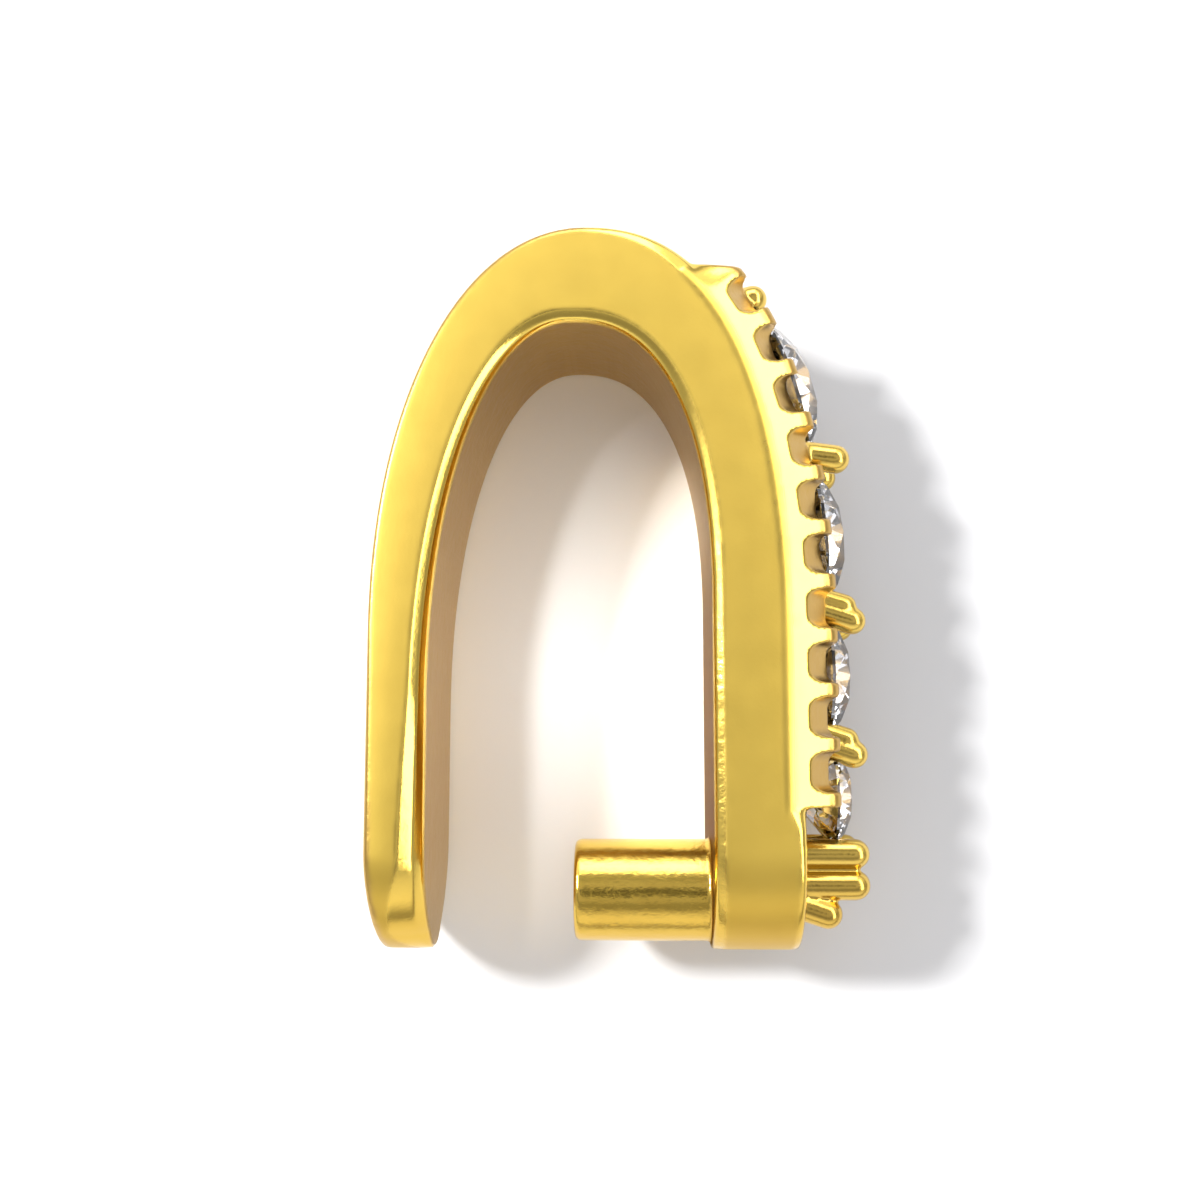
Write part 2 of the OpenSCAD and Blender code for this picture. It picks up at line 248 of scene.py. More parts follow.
class CastingFinish(bpy.types.PropertyGroup):
    """How fine the casting is and how it is plated and finished."""

    grain: length("Grain", 0.021, "Size of the grid that the casting is fused on")
    softening: whole("Softening", 6, "Passes of tumbling that soften the edges")
    triangles: whole("Triangles", 190000, "Most triangles of the casting")
    pale: tint("Pale gold", (0.90, 0.64, 0.13), "Colour of the plating where it is pale")
    deep: tint("Deep gold", (0.70, 0.45, 0.075), "Colour of the plating where it is deep")
    # Partly the duller colour of metal left as cast, partly painted shade on the inner walls, notches, seats,
    # prongs and the back's outer edge
    dull: tint("Dull gold", (0.54, 0.34, 0.09), "Colour of the places that are left as cast")
    satin_shade: tint("Satin shade", (0.86, 0.85, 0.78), "How much of their colour the satin faces keep")
    polished_roughness: share("Polish", 0.14, "Roughness of the polished edges")
    satin_roughness: share("Satin", 0.42, "Roughness of the satin side faces")
    cast_roughness: share("Cast skin", 0.30, "Roughness of the places that are left as cast")
    tumbled_roughness: share("Tumbled skin", 0.2, "Roughness of the lumpy places that were only tumbled")
    # Painted shade: a dark tint for what the front arm's inner wall mirrors at a grazing view
    grazing: tint("Gap's shade", (0.12, 0.06, 0.02), "What the gap's side mirrors at a grazing view")
    # Painted shade towards the arms' tips: the plating is drawn deeper below this height
    tip_reach: length("Deep tips", 1.2, "Height above the arms' tips over which the plating grows paler")
    fine_depth: length("Fine grain", 0.002, "Depth of the fine grain everywhere")
    coarse_depth: length("Coarse grain", 0.012, "Depth of the grain where the metal is lumpy or as cast")
    stone: tint("Stone", (0.93, 0.93, 0.97), "Colour of the clear stones")
    stone_index: share("Stone's index", 2.15, "Refractive index of the clear stones")


class StageSettings(bpy.types.PropertyGroup):
    """Camera and floor."""

    lens: FloatProperty(name="Lens", description="Focal length of the camera", default=37.38, unit="CAMERA")
    camera: FloatVectorProperty(
        name="Camera",
        description="Place of the camera",
        default=(0.000197, -0.001765, 0.016008),
        size=3,
        precision=6,
        subtype="XYZ",
        unit="LENGTH",
    )
    tilt: FloatVectorProperty(
        name="Tilt",
        description="Turn of the camera from looking straight down",
        default=(math.radians(6.5), math.radians(1.75), 0.0),
        size=3,
        subtype="EULER",
        unit="ROTATION",
    )
    floor_side: length("Floor", 600.0, "Side of the floor")
    paper: tint("Paper", (0.92, 0.92, 0.93), "Colour of the floor")


class BailSettings(bpy.types.PropertyGroup):
    """Everything that can be set on the bail and its stage."""

    bow: PointerProperty(type=BowSizes)
    rims: PointerProperty(type=RimSizes)
    stones: PointerProperty(type=StoneSizes)
    prongs: PointerProperty(type=ProngSizes)
    peg: PointerProperty(type=PegSizes)
    finish: PointerProperty(type=CastingFinish)
    stage: PointerProperty(type=StageSettings)


class InMillimetres:
    """Reads a property group with its lengths in millimetres."""

    def __init__(self, group):
        self.group = group

    def __getattr__(self, name):
        value = getattr(self.group, name)
        unit = self.group.bl_rna.properties[name].unit
        return value / MM if unit == "LENGTH" else value


# Points of the band's section along each edge, and steps across its side face
EDGE_STEPS = 4
SIDE_STEPS = 8


def rounded_edge(r):
    """Rows of [in from the wall, down from the side face] along a rounded edge, from the wall up."""
    turn = np.linspace(0.0, math.pi / 2, EDGE_STEPS)
    return np.stack([r * (1 - np.cos(turn)), r * (1 - np.sin(turn))], axis=1)


def facet_edge(fall, bevel):
    """The same for an edge of a steep facet and a bevel, each given as its width and tilt."""
    break_width, break_drop = 0.02, 0.06
    rows = [(0.0, 0.0), (break_width, break_drop)]
    for width, tilt in (fall, bevel):
        rows.append((rows[-1][0] + width, rows[-1][1] + width * math.tan(tilt)))
    rows = np.array(rows)
    rows[:, 1] = rows[-1, 1] - rows[:, 1]
    return rows


def blend(first, second, part):
    """What lies between two numbers or rows of numbers."""
    return first + (second - first) * part


class Layout:
    """The lines that every wax follows: X from the back arm, Y from the tips, Z across the band."""

    CURVE_STEPS = 90
    END_STEPS = 28
    ARM_STEPS = 8
    END_LAND = math.radians(6)
    LEAST_REACH = 0.6

    def __init__(self, settings):
        self.bow = InMillimetres(settings.bow)
        self.rims = InMillimetres(settings.rims)
        self.stones = InMillimetres(settings.stones)
        self.prongs = InMillimetres(settings.prongs)
        self.peg = InMillimetres(settings.peg)
        bow = self.bow
        self.width = bow.width
        self.end_r = bow.width / 2
        self.end_drop = self.end_r * (1 - math.cos(self.END_LAND))
        self.gap = (bow.back_thickness, bow.depth - bow.front_thickness)
        outer_top = (bow.depth / 2, bow.height)
        inner_x = self.gap[0] + bow.inner_top_share * (self.gap[1] - self.gap[0])
        inner_top = (inner_x, bow.height - bow.top_thickness)
        self.outer_front = (outer_top, bow.depth - outer_top[0], bow.outer_front_rise, bow.front_fullness)
        self.inner_front = (inner_top, self.gap[1] - inner_x, bow.inner_front_rise, bow.front_fullness)
        self.outer_back = (outer_top, -outer_top[0], bow.outer_back_rise, bow.back_fullness)
        self.inner_back = (inner_top, self.gap[0] - inner_x, bow.inner_back_rise, bow.back_fullness)
        self.diameters = [(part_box(n)[1].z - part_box(n)[0].z) / MM for n in STONES]
        self.wall_points = self.wall_line()
        steps = np.linalg.norm(np.diff(self.wall_points, axis=0), axis=1)
        self.wall_runs = np.concatenate([[0.0], np.cumsum(steps)])

    @staticmethod
    def quarter(curve, angle):
        """Point of a quarter curve, where 0 is its springing and a right angle its top."""
        top, reach, rise, fullness = curve
        across = max(math.cos(angle), 0.0) ** (2 / fullness)
        up = max(math.sin(angle), 0.0) ** (2 / fullness)
        return np.array([top[0] + reach * across, top[1] - rise + rise * up])

    def angles(self):
        """Angles up a quarter curve."""
        return np.linspace(0.0, math.pi / 2, self.CURVE_STEPS + 1)

    def wall_line(self):
        """The front arm's wall from the arm's tip to the top of the bow."""
        curve = [self.quarter(self.outer_front, a) for a in self.angles()]
        return np.array([[self.bow.depth, 0.0], *curve])

    def wall_at(self, run):
        """Point of the wall at a run from the arm's tip."""
        x = np.interp(run, self.wall_runs, self.wall_points[:, 0])
        y = np.interp(run, self.wall_runs, self.wall_points[:, 1])
        return np.array([x, y])

    def wall_frame(self, run):
        """Turns things that stand outwards along X to the wall's own direction at a run."""
        near = 0.1
        along = self.wall_at(run + near) - self.wall_at(run - near)
        turn = math.atan2(-along[0], along[1])
        x, y = self.wall_at(run)
        return Matrix.Translation((x, y, 0.0)) @ Matrix.Rotation(turn, 4, "Z")

    def half_width(self, y):
        """Half the band's width at a height, which falls round the arms' tips."""
        up = self.end_r - self.end_drop - y
        if up <= 0:
            return self.end_r
        return math.sqrt(max(self.end_r**2 - up**2, 0.0))

    def arm_pairs(self, outer, inner):
        """Outer and inner points in pairs, from an arm's tip to the top of the bow."""
        spring_outer = outer[0][1] - outer[2]
        spring_inner = inner[0][1] - inner[2]
        pairs = []
        for i in range(self.END_STEPS + 1):
            angle = self.END_LAND + (math.pi / 2 - self.END_LAND) * i / self.END_STEPS
            y = self.end_r * (1 - math.cos(angle)) - self.end_drop
            pairs.append(((outer[0][0] + outer[1], y), (inner[0][0] + inner[1], y)))
        for i in range(1, self.ARM_STEPS):
            part = i / self.ARM_STEPS
            high = [self.end_r + (spring - self.end_r) * part for spring in (spring_outer, spring_inner)]
            pairs.append(((outer[0][0] + outer[1], high[0]), (inner[0][0] + inner[1], high[1])))
        pairs += [(self.quarter(outer, a), self.quarter(inner, a)) for a in self.angles()]
        return [(np.array(a, float), np.array(b, float)) for a, b in pairs]

    def band_pairs(self):
        """All pairs from the front arm's tip over the bow to the back arm's, each with its two edges."""
        bow = self.bow
        front = self.arm_pairs(self.outer_front, self.inner_front)
        back = self.arm_pairs(self.outer_back, self.inner_back)
        fade = self.CURVE_STEPS // 3
        run_in, even_share = 0.3, 0.25
        rounded = rounded_edge(bow.outer_edge)
        under_rims = facet_edge((bow.rim_bevel / 4, bow.fall_tilt), (bow.rim_bevel, bow.rim_tilt))
        pairs = []
        for i, (outer, inner) in enumerate(front):
            low = smooth_step(self.rim_start() - run_in, self.rim_start(), outer[1])
            beside_rims = low * min(1.0, (len(front) - 1 - i) / fade)
            outer_profile = blend(rounded, under_rims, beside_rims)
            pairs.append((outer, inner, outer_profile, self.inner_profile(bow.front_fall, bow.inner_bevel)))
        for i, (outer, inner) in enumerate(back[-2::-1]):
            at_tip = 1 - smooth_step(even_share * bow.tip_reach, bow.tip_reach, inner[1])
            down = min(1.0, i / self.CURVE_STEPS)
            bevel = blend(blend(bow.inner_bevel, bow.back_bevel, down), bow.tip_bevel, at_tip)
            profile = self.inner_profile(blend(bow.front_fall, bow.back_fall, down), bevel)
            thinner = bow.tip_taper * max(0.0, 1 - outer[1] / bow.tip_reach) ** 1.5
            pairs.append((outer + np.array([thinner, 0.0]), inner, rounded, profile))
        return pairs

    def inner_profile(self, fall, bevel):
        """The edge between an inside wall and a side face, for widths of its steep facet and bevel."""
        return facet_edge((fall, self.bow.fall_tilt), (bevel, self.bow.bevel_tilt))

    def stone_runs(self):
        """Places of the stones' centres along the wall."""
        runs = [self.stones.first]
        for low, high in zip(self.diameters, self.diameters[1:]):
            runs.append(runs[-1] + (low + high) / 2 + self.stones.gap)
        return runs

    def rim_start(self):
        """Where the rims start, at the lower side of the lowest tooth."""
        return self.rims.first - (self.rims.pitch - self.rims.notch_width) / 2

    def rim_end(self):
        """Where the rims have sunk into the bow."""
        return self.rims.first + (self.rims.teeth - 1) * self.rims.pitch + self.rims.run_out


# Meshes


def new_object(name, data):
    """A new object in the scene for a mesh, a light or a camera."""
    made = bpy.data.objects.new(name, data)
    bpy.context.scene.collection.objects.link(made)
    return made


def mesh_object(name, vertices, faces, finishes=None):
    """A new object with a mesh of those points and faces, which all point outwards."""
    mesh = bpy.data.meshes.new(name)
    mesh.from_pydata([tuple(v) for v in vertices], [], faces)
    attribute = mesh.attributes.new("finish", "INT", "FACE")
    attribute.data.foreach_set("value", finishes or [CAST] * len(faces))
    work = bmesh.new()
    work.from_mesh(mesh)
    bmesh.ops.remove_doubles(work, verts=work.verts, dist=1e-6)
    bmesh.ops.recalc_face_normals(work, faces=work.faces)
    work.to_mesh(mesh)
    work.free()
    return new_object(name, mesh)


def ring_skin(name, rings, finish_at=None):
    """A closed skin over rings of as many points, whose faces are finished as the function says."""
    count = len(rings[0])
    vertices = [p for ring in rings for p in ring]
    faces = [list(range(count))[::-1], [(len(rings) - 1) * count + j for j in range(count)]]
    finishes = [POLISHED, POLISHED]
    for i in range(len(rings) - 1):
        for j in range(count):
            k = (j + 1) % count
            faces.append([i * count + j, i * count + k, (i + 1) * count + k, (i + 1) * count + j])
            finishes.append(finish_at(i, j) if finish_at else CAST)
    return mesh_object(name, vertices, faces, finishes)


def turned(name, profile, steps=64, finish=CAST):
    """A solid turned round the X axis, whose profile is [radius, height along X] from axis to axis."""
    rings = []
    for radius, x in profile[1:-1]:
        angles = np.linspace(0.0, 2 * math.pi, steps, endpoint=False)
        rings.append([(x, radius * math.cos(a), radius * math.sin(a)) for a in angles])
    vertices = [p for ring in rings for p in ring]
    first, last = len(vertices), len(vertices) + 1
    vertices += [(profile[0][1], 0.0, 0.0), (profile[-1][1], 0.0, 0.0)]
    faces = []
    for j in range(steps):
        k = (j + 1) % steps
        faces.append([first, k, j])
        faces.append([last, (len(rings) - 1) * steps + j, (len(rings) - 1) * steps + k])
        for i in range(len(rings) - 1):
            faces.append([i * steps + j, i * steps + k, (i + 1) * steps + k, (i + 1) * steps + j])
    return mesh_object(name, vertices, faces, [finish] * len(faces))


def evaluated_mesh(made):
    """The object's mesh with its modifiers, as a new mesh."""
    bpy.context.view_layer.update()
    depsgraph = bpy.context.evaluated_depsgraph_get()
    return bpy.data.meshes.new_from_object(made.evaluated_get(depsgraph), depsgraph=depsgraph)


def settle(made):
    """Turns the object's modifiers into its plain mesh."""
    mesh = evaluated_mesh(made)
    made.modifiers.clear()
    made.data = mesh
    return made


def remove(*objects):
    """Deletes objects that were only needed on the way."""
    for made in objects:
        bpy.data.objects.remove(made)


def cut(made, cutter):
    """Cuts one closed shape out of another, and deletes the cutter."""
    modifier = made.modifiers.new("Cut", "BOOLEAN")
    modifier.operation = "DIFFERENCE"
    modifier.solver = "EXACT"
    modifier.use_self = True
    modifier.object = cutter
    settle(made)
    remove(cutter)
    return made


def join(name, objects):
    """One object that holds the meshes of all of them, which are deleted."""
    work = bmesh.new()
    for made in objects:
        work.from_mesh(made.data)
    mesh = bpy.data.meshes.new(name)
    work.to_mesh(mesh)
    work.free()
    remove(*objects)
    return new_object(name, mesh)


def smooth_step(low, high, values):
    """0 below the low value, 1 above the high one, and smooth between."""
    t = np.clip((values - low) / (high - low), 0.0, 1.0)
    return t * t * (3 - 2 * t)


# Node trees


def add_node(tree, kind, inputs=None, **settings):
    """A node with its settings, and with its inputs set to values or linked to sockets."""
    made = tree.nodes.new(kind)
    for key, value in settings.items():
        setattr(made, key, value)
    for key, value in (inputs or {}).items():
        socket = made.inputs[key]
        if isinstance(value, bpy.types.NodeSocket):
            tree.links.new(value, socket)
        else:
            socket.default_value = value
    return made


def math_node(tree, operation, first, second=0.0, third=0.0, clamp=False):
    """The result of one sum on values or sockets."""
    inputs = {0: first, 1: second, 2: third}
    return add_node(tree, "ShaderNodeMath", inputs, operation=operation, use_clamp=clamp).outputs[0]


def vector_node(tree, operation, first, second):
    """The result of one sum on two vectors."""
    return add_node(tree, "ShaderNodeVectorMath", {0: first, 1: second}, operation=operation).outputs[0]


def scaled(tree, vector, factor):
    """A vector times a number."""
    inputs = {0: vector, "Scale": factor}
    return add_node(tree, "ShaderNodeVectorMath", inputs, operation="SCALE").outputs[0]


def combined(tree, x=0.0, y=0.0, z=0.0):
    """A vector from its three parts."""
    return add_node(tree, "ShaderNodeCombineXYZ", {0: x, 1: y, 2: z}).outputs[0]


def remapped(tree, value, low, high, to_low, to_high):
    """A value moved from one range to another, and kept inside it."""
    inputs = {0: value, 1: low, 2: high, 3: to_low, 4: to_high}
    return add_node(tree, "ShaderNodeMapRange", inputs, clamp=True).outputs[0]


def mixed_colour(tree, amount, first, second, way="MIX"):
    """Two colours mixed or multiplied by an amount."""
    inputs = {0: amount, 6: first, 7: second}
    return add_node(tree, "ShaderNodeMix", inputs, data_type="RGBA", blend_type=way).outputs[2]


def noise(tree, vector, scale, **settings):
    """Noise of a scale at a place."""
    inputs = {"Vector": vector, "Scale": scale, **settings}
    return add_node(tree, "ShaderNodeTexNoise", inputs).outputs[0]


def mark(tree, name):
    """A mark of the casting, from 0 to 1."""
    return add_node(tree, "ShaderNodeAttribute", attribute_name=name).outputs["Fac"]


def new_tree(name, kind, inputs, outputs):
    """A node group with named inputs and outputs, and its input and output nodes."""
    tree = bpy.data.node_groups.new(name, kind)
    for direction, sockets in (("INPUT", inputs), ("OUTPUT", outputs)):
        for label, socket_kind in sockets:
            tree.interface.new_socket(name=label, in_out=direction, socket_type=socket_kind)
    return tree, tree.nodes.new("NodeGroupInput"), tree.nodes.new("NodeGroupOutput")


def wall_placing(tree, wall, run):
    """Place, outward direction and turn about Z of the wall at a run, inside a tree."""
    line = add_node(tree, "GeometryNodeObjectInfo", {"Object": wall}, transform_space="ORIGINAL")
    curve = add_node(tree, "GeometryNodeMeshToCurve", {"Mesh": line.outputs["Geometry"]})
    inputs = {"Curves": curve.outputs[0], "Length": run}
    sample = add_node(tree, "GeometryNodeSampleCurve", inputs, mode="LENGTH")
    outward = vector_node(tree, "CROSS_PRODUCT", sample.outputs["Tangent"], (0.0, 0.0, 1.0))
    parts = add_node(tree, "ShaderNodeSeparateXYZ", {0: outward})
    turn = math_node(tree, "ARCTAN2", parts.outputs[1], parts.outputs[0])
    return sample.outputs["Position"], outward, turn


def row_tree(name, inputs):
    """A tree that turns one shape into a row along the wall, with its input and output nodes."""
    inputs = [("Geometry", "Geometry"), ("Wall", "Object"), *inputs, ("Material", "Material")]
    sockets = [(label, f"NodeSocket{kind}") for label, kind in inputs]
    return new_tree(name, "GeometryNodeTree", sockets, [("Geometry", "NodeSocketGeometry")])


def finish_row(tree, given, result, placed):
    """Makes the placed copies real and gives them the material."""
    real = add_node(tree, "GeometryNodeRealizeInstances", {"Geometry": placed})
    inputs = {"Geometry": real.outputs[0], "Material": given.outputs["Material"]}
    coated = add_node(tree, "GeometryNodeSetMaterial", inputs)
    tree.links.new(coated.outputs[0], result.inputs[0])
    return tree


def notch_row_tree():
    """Cutters for both rims' notches along the wall, every second one turned over to the far side."""
    inputs = [("First notch", "Float"), ("Pitch", "Float"), ("Count", "Int"), ("Band width", "Float")]
    tree, given, result = row_tree("Notch row", inputs)
    both = math_node(tree, "MULTIPLY", given.outputs["Count"], 2.0)
    points = add_node(tree, "GeometryNodePoints", {"Count": both})
    index = tree.nodes.new("GeometryNodeInputIndex").outputs[0]
    number = math_node(tree, "FLOOR", math_node(tree, "DIVIDE", index, 2.0))
    side = math_node(tree, "MODULO", index, 2.0)
    run = math_node(tree, "MULTIPLY_ADD", number, given.outputs["Pitch"], given.outputs["First notch"])
    place, _, turn = wall_placing(tree, given.outputs["Wall"], run)
    height = math_node(tree, "MULTIPLY", side, given.outputs["Band width"])
    raised = vector_node(tree, "ADD", place, combined(tree, z=height))
    placed = add_node(tree, "GeometryNodeSetPosition", {"Geometry": points.outputs[0], "Position": raised})
    rotation = combined(tree, x=math_node(tree, "MULTIPLY", side, math.pi), z=turn)
    inputs = {"Points": placed.outputs[0], "Instance": given.outputs["Geometry"], "Rotation": rotation}
    cutters = add_node(tree, "GeometryNodeInstanceOnPoints", inputs)
    return finish_row(tree, given, result, cutters.outputs[0])


def prong_row_tree():
    """A domed post at each point, which says its run, place across the band, width, height and lean."""
    tree, given, result = row_tree("Prong row", [("Root", "Float"), ("Pivot", "Float"), ("Sides", "Int")])
    root, pivot, sides = (given.outputs[label] for label in ("Root", "Pivot", "Sides"))
    named = {}
    for label in ("run", "across", "width", "rise", "lean"):
        reader = add_node(tree, "GeometryNodeInputNamedAttribute", {"Name": label}, data_type="FLOAT")
        named[label] = reader.outputs["Attribute"]
    place, outward, turn = wall_placing(tree, given.outputs["Wall"], named["run"])
    foot = vector_node(tree, "ADD", place, combined(tree, z=named["across"]))
    middle = vector_node(tree, "ADD", foot, scaled(tree, outward, pivot))
    leaning = math_node(tree, "SUBTRACT", turn, named["lean"])
    rotation = combined(tree, y=math.pi / 2, z=leaning)
    axis = combined(tree, math_node(tree, "COSINE", leaning), math_node(tree, "SINE", leaning))
    slant = math_node(tree, "COSINE", named["lean"])
    wide = named["width"]
    shoulder = math_node(tree, "SUBTRACT", named["rise"], math_node(tree, "MULTIPLY", wide, 0.5))
    shaft = add_node(tree, "GeometryNodeMeshCylinder", {"Vertices": sides, "Radius": 0.5, "Depth": 1.0})
    inputs = {"Geometry": shaft.outputs[0], "Translation": (0.0, 0.0, 0.5)}
    shaft = add_node(tree, "GeometryNodeTransform", inputs)
    rings = math_node(tree, "MULTIPLY", sides, 0.5)
    dome = add_node(tree, "GeometryNodeMeshUVSphere", {"Segments": sides, "Rings": rings, "Radius": 0.5})
    tall = math_node(tree, "DIVIDE", math_node(tree, "ADD", shoulder, root), slant)
    depth = math_node(tree, "MULTIPLY", math_node(tree, "ADD", root, pivot), -1.0)
    below = math_node(tree, "DIVIDE", depth, slant)
    above = math_node(tree, "DIVIDE", math_node(tree, "SUBTRACT", shoulder, pivot), slant)
    join_node = tree.nodes.new("GeometryNodeJoinGeometry")
    for shape, start, high in ((shaft, below, tall), (dome, above, wide)):
        base = vector_node(tree, "ADD", middle, scaled(tree, axis, start))
        inputs = {"Geometry": given.outputs["Geometry"], "Position": base}
        placed = add_node(tree, "GeometryNodeSetPosition", inputs)
        inputs = {
            "Points": placed.outputs[0],
            "Instance": shape.outputs[0],
            "Rotation": rotation,
            "Scale": combined(tree, wide, wide, high),
        }
        posts = add_node(tree, "GeometryNodeInstanceOnPoints", inputs)
        tree.links.new(posts.outputs[0], join_node.inputs[0])
    return finish_row(tree, given, result, join_node.outputs[0])


def wall_object(layout):
    """The wall's line as a mesh of edges, which the rows of notches and prongs follow."""
    mesh = bpy.data.meshes.new("wall_line")
    points = [(x, y, 0.0) for x, y in layout.wall_points]
    mesh.from_pydata(points, [(i, i + 1) for i in range(len(points) - 1)], [])
    return new_object("wall_line", mesh)


def lay_row(made, layout, tree, values):
    """Turns an object into a row along the wall, by a tree whose inputs get these values."""
    wall = wall_object(layout)
    modifier = made.modifiers.new(tree.name, "NODES")
    modifier.node_group = tree
    given = {"Wall": wall, **values}
    for item in tree.interface.items_tree:
        if item.item_type == "SOCKET" and item.in_out == "INPUT" and item.name in given:
            modifier[item.identifier] = given[item.name]
    settle(made)
    remove(wall)


# Shader groups


def shader_tree(name, floats, colours, outputs):
    """A shader group that takes a place, numbers and colours, with its input and output nodes."""
    inputs = [("Vector", "NodeSocketVector")]
    inputs += [(label, "NodeSocketColor") for label in colours]
    inputs += [(label, "NodeSocketFloat") for label in floats]
    return new_tree(name, "ShaderNodeTree", inputs, outputs)


def cast_grain_group():
    """Fine pits and soft waves of a cast and tumbled surface."""
    floats = ("Pit scale", "Wave scale", "Wave share")
    outputs = [("Height", "NodeSocketFloat"), ("Cloud", "NodeSocketFloat")]
    tree, given, result = shader_tree("Cast grain", floats, (), outputs)
    place = given.outputs["Vector"]
    pits = noise(tree, place, given.outputs["Pit scale"], Detail=4.0, Roughness=0.6)
    waves = noise(tree, place, given.outputs["Wave scale"], Detail=2.0)
    both = add_node(tree, "ShaderNodeMix", {0: given.outputs["Wave share"], 2: pits, 3: waves}).outputs[0]
    tree.links.new(both, result.inputs["Height"])
    tree.links.new(waves, result.inputs["Cloud"])
    return tree


def plating_tone_group():
    """Plating that is pale and deeper in clouds, deeper towards the arms' tips as painted shade, and dull
    where it is as cast, which partly paints shade into the recesses.
    """
    floats = ("Cast", "Cloud scale", "Tip height", "Tip reach")
    outputs = [("Color", "NodeSocketColor")]
    tree, given, result = shader_tree("Plating tone", floats, ("Pale", "Deep", "Dull"), outputs)
    clouds = noise(tree, given.outputs["Vector"], given.outputs["Cloud scale"], Detail=3.0)
    cloudy = remapped(tree, clouds, *DEEP_CLOUDS)
    parts = add_node(tree, "ShaderNodeSeparateXYZ", {0: given.outputs["Vector"]})
    # Painted shade: deeper plating towards the arms' tips
    above = math_node(tree, "SUBTRACT", parts.outputs[1], given.outputs["Tip height"])
    faded = math_node(tree, "DIVIDE", above, given.outputs["Tip reach"])
    amount = math_node(tree, "ADD", cloudy, remapped(tree, faded, *PAINTED_TIP_SHADE), clamp=True)
    plated = mixed_colour(tree, amount, given.outputs["Pale"], given.outputs["Deep"])
    # The dull colour is partly painted shade in the recesses
    toned = mixed_colour(tree, given.outputs["Cast"], plated, given.outputs["Dull"])
    tree.links.new(toned, result.inputs["Color"])
    return tree


def new_material(name):
    """A material with only its shader, and the shader."""
    made = bpy.data.materials.new(name)
    made.use_nodes = True
    return made, made.node_tree, made.node_tree.nodes["Principled BSDF"]


def use_group(tree, name, make, inputs):
    """A shader group, made once, as a node in a material."""
    group = bpy.data.node_groups.get(name) or make()
    return add_node(tree, "ShaderNodeGroup", inputs, node_tree=group)


def grain(tree, place, pit_scale, wave_scale, wave_share):
    """The cast grain in a material."""
    inputs = {"Vector": place, "Pit scale": pit_scale, "Wave scale": wave_scale, "Wave share": wave_share}
    return use_group(tree, "Cast grain", cast_grain_group, inputs)


def plated_gold(finish):
    """Gold plate that is polished, and satin, lumpy or dull where the casting is marked so, with painted
    shade on the front arm's inside and, through the dull colour, in the recesses.
    """
    made, tree, shader = new_material("gold_plate")
    place = tree.nodes.new("ShaderNodeTexCoord").outputs["Object"]
    satin, cast, tumbled, shaded = (mark(tree, name) for name in MARKS)
    values = {
        "Vector": place,
        "Pale": (*finish.pale, 1.0),
        "Deep": (*finish.deep, 1.0),
        "Dull": (*finish.dull, 1.0),
        "Cast": cast,
        "Cloud scale": CLOUD_SCALE,
        "Tip height": cad_box[0].y,
        "Tip reach": finish.tip_reach,
    }
    tone = use_group(tree, "Plating tone", plating_tone_group, values)
    fine = grain(tree, place, *FINE_GRAIN)
    coarse = grain(tree, place, *COARSE_GRAIN)
    rough = finish.polished_roughness
    for mask, value in (
        (satin, finish.satin_roughness),
        (cast, finish.cast_roughness),
        (tumbled, finish.tumbled_roughness),
    ):
        added = math_node(tree, "MULTIPLY", mask, value - finish.polished_roughness)
        rough = math_node(tree, "ADD", added, rough)
    cloud = remapped(tree, fine.outputs["Cloud"], *ROUGH_CLOUDS)
    light = {"Strength": 1.0, "Distance": finish.fine_depth, "Height": fine.outputs["Height"]}
    heavy = {
        "Strength": math_node(tree, "ADD", cast, tumbled, clamp=True),
        "Distance": finish.coarse_depth,
        "Height": coarse.outputs["Height"],
        "Normal": add_node(tree, "ShaderNodeBump", light).outputs[0],
    }
    satin_shade, grazing = (*finish.satin_shade, 1.0), (*finish.grazing, 1.0)
    looks = {
        "Base Color": mixed_colour(tree, satin, tone.outputs["Color"], satin_shade, "MULTIPLY"),
        "Roughness": math_node(tree, "ADD", rough, cloud),
        "Normal": add_node(tree, "ShaderNodeBump", heavy).outputs[0],
        # Painted shade: the front arm's inner wall mirrors a dark tint at grazing views
        "Specular Tint": mixed_colour(tree, shaded, (1.0, 1.0, 1.0, 1.0), grazing),
    }
    for label, socket in looks.items():
        tree.links.new(socket, shader.inputs[label])
    shader.inputs["Metallic"].default_value = 1.0
    return made


def clear_stone(finish):
    """Clear cut stone with the faintest smudges on its facets."""
    made, tree, shader = new_material("clear_stone")
    place = tree.nodes.new("ShaderNodeTexCoord").outputs["Object"]
    smudge = grain(tree, place, *SMUDGES)
    rough = remapped(tree, smudge.outputs["Height"], *ROUGH_SMUDGES)
    tree.links.new(rough, shader.inputs["Roughness"])
    shader.inputs["Base Color"].default_value = (*finish.stone, 1.0)
    shader.inputs["IOR"].default_value = finish.stone_index
    shader.inputs["Transmission Weight"].default_value = 1.0
    return made


def paper(colour):
    """Plain pale paper."""
    made, _, shader = new_material("paper")
    shader.inputs["Base Color"].default_value = (*colour, 1.0)
    shader.inputs["Roughness"].default_value = 0.9
    shader.inputs["Specular IOR Level"].default_value = 0.2
    return made


# Waxes


